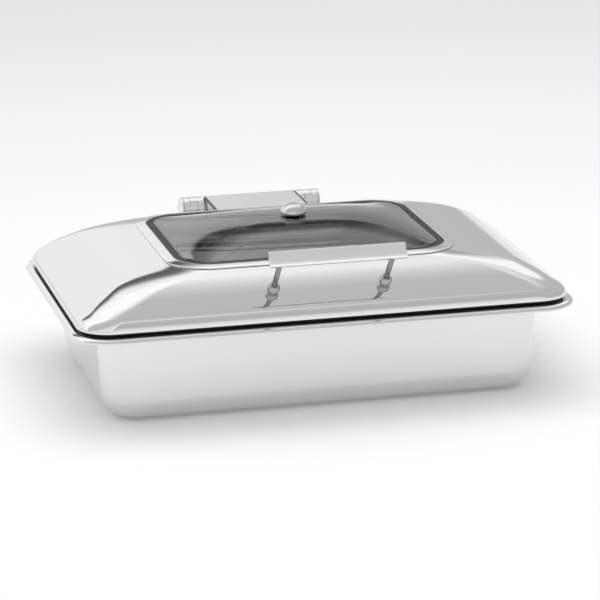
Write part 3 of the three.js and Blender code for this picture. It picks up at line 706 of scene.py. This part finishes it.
def camera():
    """A long lens in front and a little to the left, looking down at the dish."""
    azimuth, elevation, roll = (math.radians(angle) for angle in (-13.91, 15.91, -0.49))
    distance = 3868.9
    level = math.cos(elevation)
    back = Vector((math.sin(azimuth) * level, -math.cos(azimuth) * level, math.sin(elevation)))
    right = (-back).cross(Vector((0, 0, 1))).normalized()
    up = right.cross(-back)
    right, up = (math.cos(roll) * right + math.sin(roll) * up, math.cos(roll) * up - math.sin(roll) * right)
    aside, above = 6.41, 84.04
    target = right * aside + up * above
    lens = bpy.data.cameras.new("camera")
    lens.lens = 195.03
    lens.sensor_width = 36
    lens.clip_start = 0.1
    lens.clip_end = 60
    shot = bpy.data.objects.new("camera", lens)
    shot.matrix_world = Matrix.Translation((target + back * distance) * MM) @ Matrix(
        (right, up, back)).transposed().to_4x4()
    bpy.context.scene.collection.objects.link(shot)
    bpy.context.scene.camera = shot


def chain(tree, operation, *values):
    """A math node on numbers or sockets."""
    node = tree.nodes.new("ShaderNodeMath")
    node.operation = operation
    for socket, value in zip(node.inputs, values):
        if isinstance(value, (int, float)):
            socket.default_value = value
        else:
            tree.links.new(value, socket)
    return node.outputs[0]


def graded(tree, source, span, stops):
    """The brightness at the source's place between stops of (place, brightness), over a span of places."""
    ramp = tree.nodes.new("ShaderNodeValToRGB")
    ramp.color_ramp.interpolation = "EASE"
    marks = ramp.color_ramp.elements
    marks[0].color = (stops[0][1] / 2,) * 3 + (1,)
    marks[1].color = (stops[-1][1] / 2,) * 3 + (1,)
    for place, value in stops[1:-1]:
        marks.new(place / span).color = (value / 2,) * 3 + (1,)
    tree.links.new(chain(tree, "DIVIDE", source, span), ramp.inputs["Fac"])
    return chain(tree, "MULTIPLY", ramp.outputs["Color"], 2)


def soft_box(tree, direction, azimuth, elevation, inner, outer):
    """A factor of one within inner degrees of a place in the sky, fading to nothing at outer degrees."""
    flat = math.cos(math.radians(elevation))
    aim = (flat * math.sin(math.radians(azimuth)), -flat * math.cos(math.radians(azimuth)),
           math.sin(math.radians(elevation)))
    dot = tree.nodes.new("ShaderNodeVectorMath")
    dot.operation = "DOT_PRODUCT"
    tree.links.new(direction, dot.inputs[0])
    dot.inputs[1].default_value = aim
    fade = tree.nodes.new("ShaderNodeMapRange")
    fade.interpolation_type = "SMOOTHSTEP"
    fade.inputs["From Min"].default_value = math.cos(math.radians(outer))
    fade.inputs["From Max"].default_value = math.cos(math.radians(inner))
    tree.links.new(dot.outputs["Value"], fade.inputs["Value"])
    return fade.outputs["Result"]


def gap_over_backdrop(tree, over, x):
    """A factor that darkens a strip low behind the dish, between the floor's horizon and the bright part."""
    strip = graded(tree, over, 180, [(0, 0.0), (24, 0.0), (26, 0.9), (30, 0.85), (41, 0.0), (180, 0.0)])
    middle = tree.nodes.new("ShaderNodeMapRange")
    middle.interpolation_type = "SMOOTHSTEP"
    for name, value in (("From Min", 0.5), ("From Max", 0.25), ("To Min", 0.0), ("To Max", 1.0)):
        middle.inputs[name].default_value = value
    tree.links.new(chain(tree, "ABSOLUTE", x), middle.inputs["Value"])
    return chain(tree, "SUBTRACT", 1.0, chain(tree, "MULTIPLY", strip, middle.outputs["Result"]))


def world():
    """A soft studio: pale at floor height behind and in front, brightest high up behind, greyer on the right
    and above the front, with two soft boxes behind."""
    sky = bpy.data.worlds.new("studio")
    bpy.context.scene.world = sky
    sky.use_nodes = True
    tree = sky.node_tree
    coords = tree.nodes.new("ShaderNodeTexCoord")
    split = tree.nodes.new("ShaderNodeSeparateXYZ")
    direction = coords.outputs["Generated"]
    tree.links.new(direction, split.inputs["Vector"])
    aside = chain(tree, "MAXIMUM", split.outputs["X"], 0.0)
    height = chain(tree, "MAXIMUM", split.outputs["Z"], 0.0)
    over = chain(tree, "MULTIPLY", chain(tree, "ARCTAN2", height, split.outputs["Y"]), 180 / math.pi)
    up_side = chain(tree, "MULTIPLY", chain(tree, "ARCTAN2", height, aside), 180 / math.pi)
    lengthways = graded(tree, over, 180, [
        (0, 1.0), (40, 1.05), (55, 1.25), (70, 1.25), (95, 0.62), (140, 0.6), (165, 0.9), (180, 1.0)])
    sideways = graded(tree, up_side, 90, [
        (0, 0.55), (45, 0.6), (65, 0.95), (90, 1.3)])
    brightness = chain(tree, "SMOOTH_MIN", lengthways, sideways, 0.15)
    for azimuth, elevation, inner, outer in ((152, 40, 12, 24), (-150, 48, 12, 26)):
        card = soft_box(tree, direction, azimuth, elevation, inner, outer)
        brightness = chain(tree, "MAXIMUM", brightness, chain(tree, "MULTIPLY", card, 1.18))
    brightness = chain(tree, "MULTIPLY", brightness, gap_over_backdrop(tree, over, split.outputs["X"]))
    tree.links.new(brightness, tree.nodes["Background"].inputs["Color"])


def floor():
    """A plain pale floor, 24 m square and faintly lit from within."""
    made, shader, tree = material("floor")
    speck = stretched(tree, 3, (1, 1, 1))
    shader.inputs["Base Color"].default_value = (0.66, 0.66, 0.66, 1)
    tree.links.new(ranged(tree, speck.outputs["Fac"], 0.75, 0.85), shader.inputs["Roughness"])
    shader.inputs["Specular IOR Level"].default_value = 0.1
    shader.inputs["Emission Color"].default_value = (1, 1, 1, 1)
    shader.inputs["Emission Strength"].default_value = 0.15
    half = 12
    corners = [(-half, -half, 0), (half, -half, 0), (half, half, 0), (-half, half, 0)]
    mesh = bpy.data.meshes.new("floor")
    mesh.from_pydata(corners, [], [(0, 1, 2, 3)])
    mesh.materials.append(made)
    placed = bpy.data.objects.new("floor", mesh)
    bpy.context.scene.collection.objects.link(placed)


def backdrop():
    """A white cove far behind everything, which only the camera sees."""
    made = bpy.data.materials.new("backdrop")
    made.use_nodes = True
    tree = made.node_tree
    tree.nodes.clear()
    light = add(tree, "ShaderNodeEmission", Strength=1.3)
    sheet = tree.nodes.new("ShaderNodeOutputMaterial")
    tree.links.new(light.outputs[0], sheet.inputs["Surface"])
    ring = bmesh.new()
    bmesh.ops.create_icosphere(ring, subdivisions=4, radius=14)
    mesh = bpy.data.meshes.new("backdrop")
    ring.to_mesh(mesh)
    mesh.materials.append(made)
    dome = bpy.data.objects.new("backdrop", mesh)
    bpy.context.scene.collection.objects.link(dome)
    for kind in ("glossy", "diffuse", "shadow", "transmission"):
        setattr(dome, f"visible_{kind}", False)


def overhead_light():
    """Lights the floor and the inside, without showing as a shape in the polished steel."""
    lamp = bpy.data.lights.new("overhead", "AREA")
    lamp.shape = "RECTANGLE"
    lamp.size, lamp.size_y = 3.0, 3.0
    lamp.energy = 42
    placed = bpy.data.objects.new("overhead", lamp)
    placed.location = (0, -0.2, 2.2)
    placed.visible_glossy = False
    bpy.context.scene.collection.objects.link(placed)


bpy.context.scene.view_settings.view_transform = "Standard"
camera()
world()
floor()
backdrop()
overhead_light()
water_pan()
food_pan()
lid()
lid_seal()
window()
cap_nut()
handle()
hinge_arm()
hinge_ends()
finish_cad_nodes()
